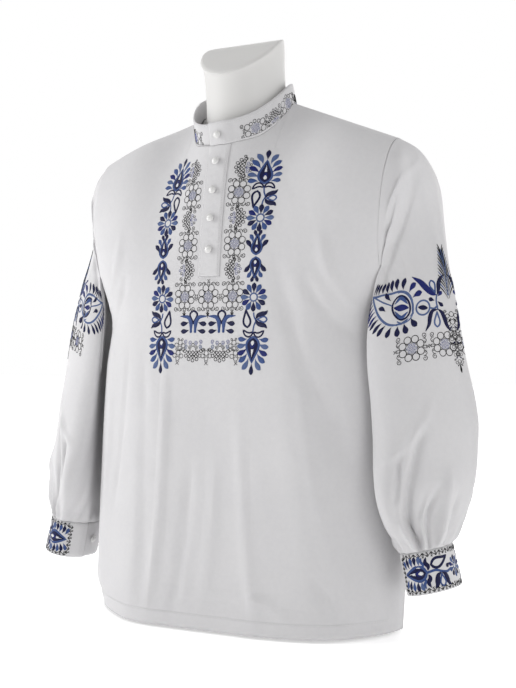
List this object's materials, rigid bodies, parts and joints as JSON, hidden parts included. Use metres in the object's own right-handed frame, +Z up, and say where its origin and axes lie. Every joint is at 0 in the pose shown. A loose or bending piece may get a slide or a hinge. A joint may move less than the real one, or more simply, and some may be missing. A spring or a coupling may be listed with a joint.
{
  "type": "embroidered folk shirt on a torso dress form",
  "caption": "White pullover folk shirt with stand collar, buttoned half placket and sleeves gathered into cuffs, shown worn by a limbless torso form that it stands on.",
  "frame": {"origin": "middle of the form's flat base, at floor level", "axes": "+Z up, the shirt's front faces -Y, and the wearer's left is +X"},
  "size_m": [0.7304, 0.2856, 0.8768],
  "materials": {
    "cotton": "plain woven cotton, matt",
    "band_cotton": "interfaced cotton, matt",
    "button": "satin",
    "form": "smooth, matt"
  },
  "bodies": {
    "root": {"front": "cotton", "back": "cotton", "sleeve_left": "cotton", "sleeve_right": "cotton", "placket": "band_cotton", "collar": "band_cotton", "cuff_left": "band_cotton", "cuff_right": "band_cotton", "button_collar": "button", "button_placket_1": "button", "button_placket_2": "button", "button_placket_3": "button", "button_placket_4": "button", "button_cuff_left": "button", "button_cuff_right": "button", "torso_form": "form"}
  },
  "joints": []
}
